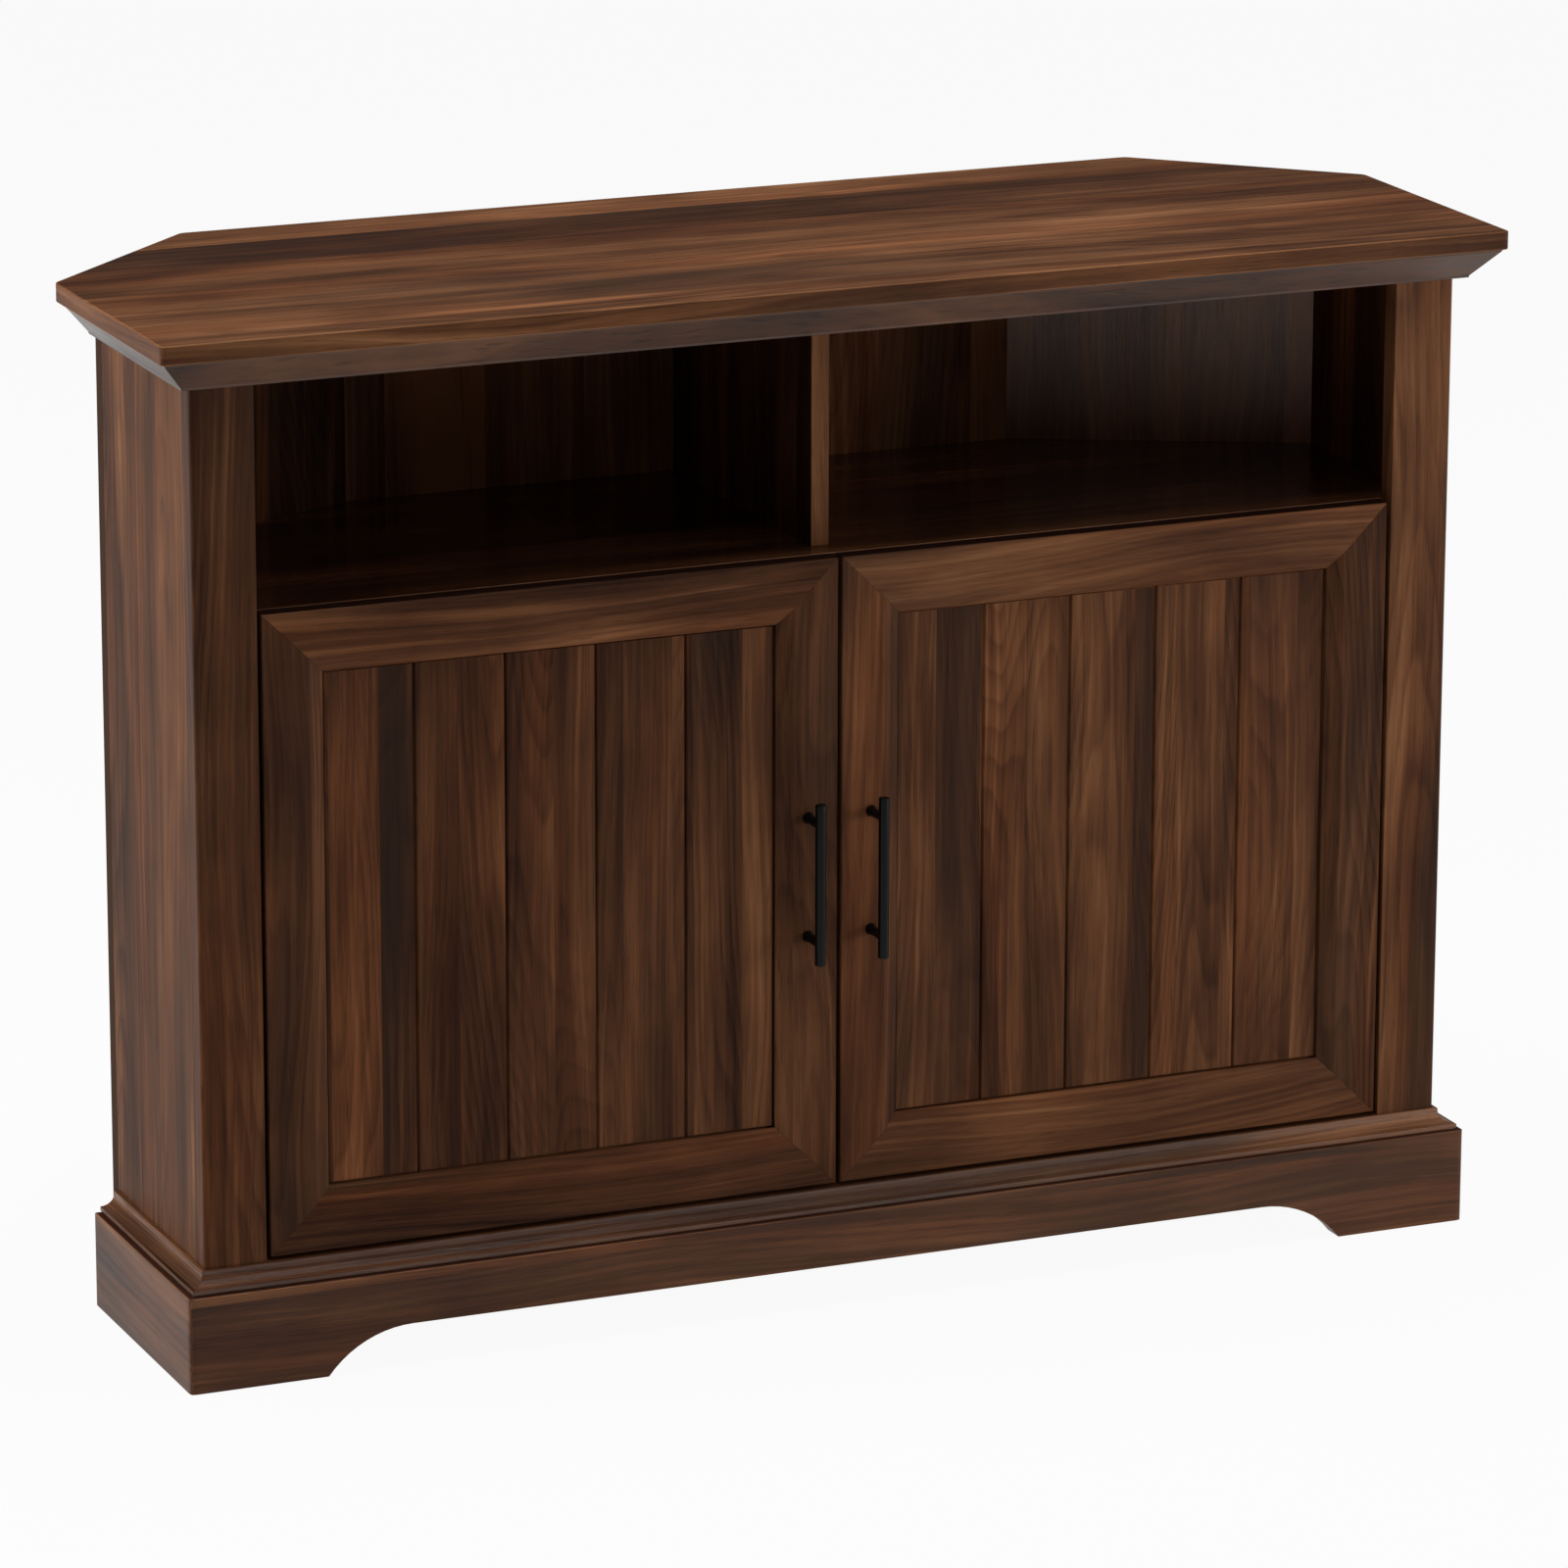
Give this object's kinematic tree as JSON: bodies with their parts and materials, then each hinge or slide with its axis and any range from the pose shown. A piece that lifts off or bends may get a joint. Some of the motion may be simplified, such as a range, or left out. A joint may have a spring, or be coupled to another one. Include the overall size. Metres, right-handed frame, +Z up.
{
  "type": "corner tv cabinet",
  "caption": "Corner media cabinet with cut-off rear corners, two open niches over a two-door cupboard with plank panels, bar pulls and an arched plinth.",
  "frame": {"origin": "on the floor under the middle of the top panel, bottom centre of the bounding box", "axes": "+X to the viewer's right along the front, +Y to the back of the cabinet (into the corner), +Z up; the doors face -Y"},
  "size_m": [1.118, 0.392, 0.822],
  "materials": {
    "walnut": "satin dark walnut-grain laminate",
    "dark_walnut": "matt dark walnut-grain laminate of the inner boards and the back",
    "black_metal": "satin black coated bar pull",
    "nickel": "nickel-plated pressed steel",
    "catch_plastic": "dark brown moulded plastic"
  },
  "bodies": {
    "cabinet": {"back_panel_center": "dark_walnut", "back_panel_left": "dark_walnut", "back_panel_right": "dark_walnut", "base_moulding_front": "walnut", "base_moulding_left": "walnut", "base_moulding_right": "walnut", "bottom_panel": "dark_walnut", "crown_front": "walnut", "crown_left": "walnut", "crown_right": "walnut", "cupboard_partition": "dark_walnut", "left_hinge_arm_lower": "nickel", "left_hinge_arm_upper": "nickel", "left_hinge_rail": "dark_walnut", "left_loose_shelf": "dark_walnut", "left_magnetic_catch": "catch_plastic", "left_post": "walnut", "left_shelf_pin_inner_1": "nickel", "left_shelf_pin_inner_2": "nickel", "left_shelf_pin_outer_1": "nickel", "left_shelf_pin_outer_2": "nickel", "left_side_panel": "walnut", "middle_shelf": "walnut", "niche_divider": "walnut", "plinth_front": "walnut", "plinth_left": "walnut", "plinth_right": "walnut", "rear_base_board": "dark_walnut", "right_hinge_arm_lower": "nickel", "right_hinge_arm_upper": "nickel", "right_hinge_rail": "dark_walnut", "right_loose_shelf": "dark_walnut", "right_magnetic_catch": "catch_plastic", "right_post": "walnut", "right_shelf_pin_inner_1": "nickel", "right_shelf_pin_inner_2": "nickel", "right_shelf_pin_outer_1": "nickel", "right_shelf_pin_outer_2": "nickel", "right_side_panel": "walnut", "top_panel": "walnut", "top_rail": "walnut"},
    "left_door": {"left_door_bottom_rail": "walnut", "left_door_hinge_stile": "walnut", "left_door_meeting_stile": "walnut", "left_door_panel": "walnut", "left_door_top_rail": "walnut", "left_handle": "black_metal", "left_hinge_cup_lower": "nickel", "left_hinge_cup_upper": "nickel", "left_strike_plate": "nickel"},
    "right_door": {"right_door_bottom_rail": "walnut", "right_door_hinge_stile": "walnut", "right_door_meeting_stile": "walnut", "right_door_panel": "walnut", "right_door_top_rail": "walnut", "right_handle": "black_metal", "right_hinge_cup_lower": "nickel", "right_hinge_cup_upper": "nickel", "right_strike_plate": "nickel"}
  },
  "joints": [
    {"name": "left_door_hinge", "type": "hinge", "parent": "cabinet", "child": "left_door", "pos_m": [-0.47475, -0.164, 0.3495], "axis": [0, 0, -1], "range_deg": [0, 110]},
    {"name": "right_door_hinge", "type": "hinge", "parent": "cabinet", "child": "right_door", "pos_m": [0.47475, -0.164, 0.3495], "axis": [0, 0, 1], "range_deg": [0, 110]}
  ]
}
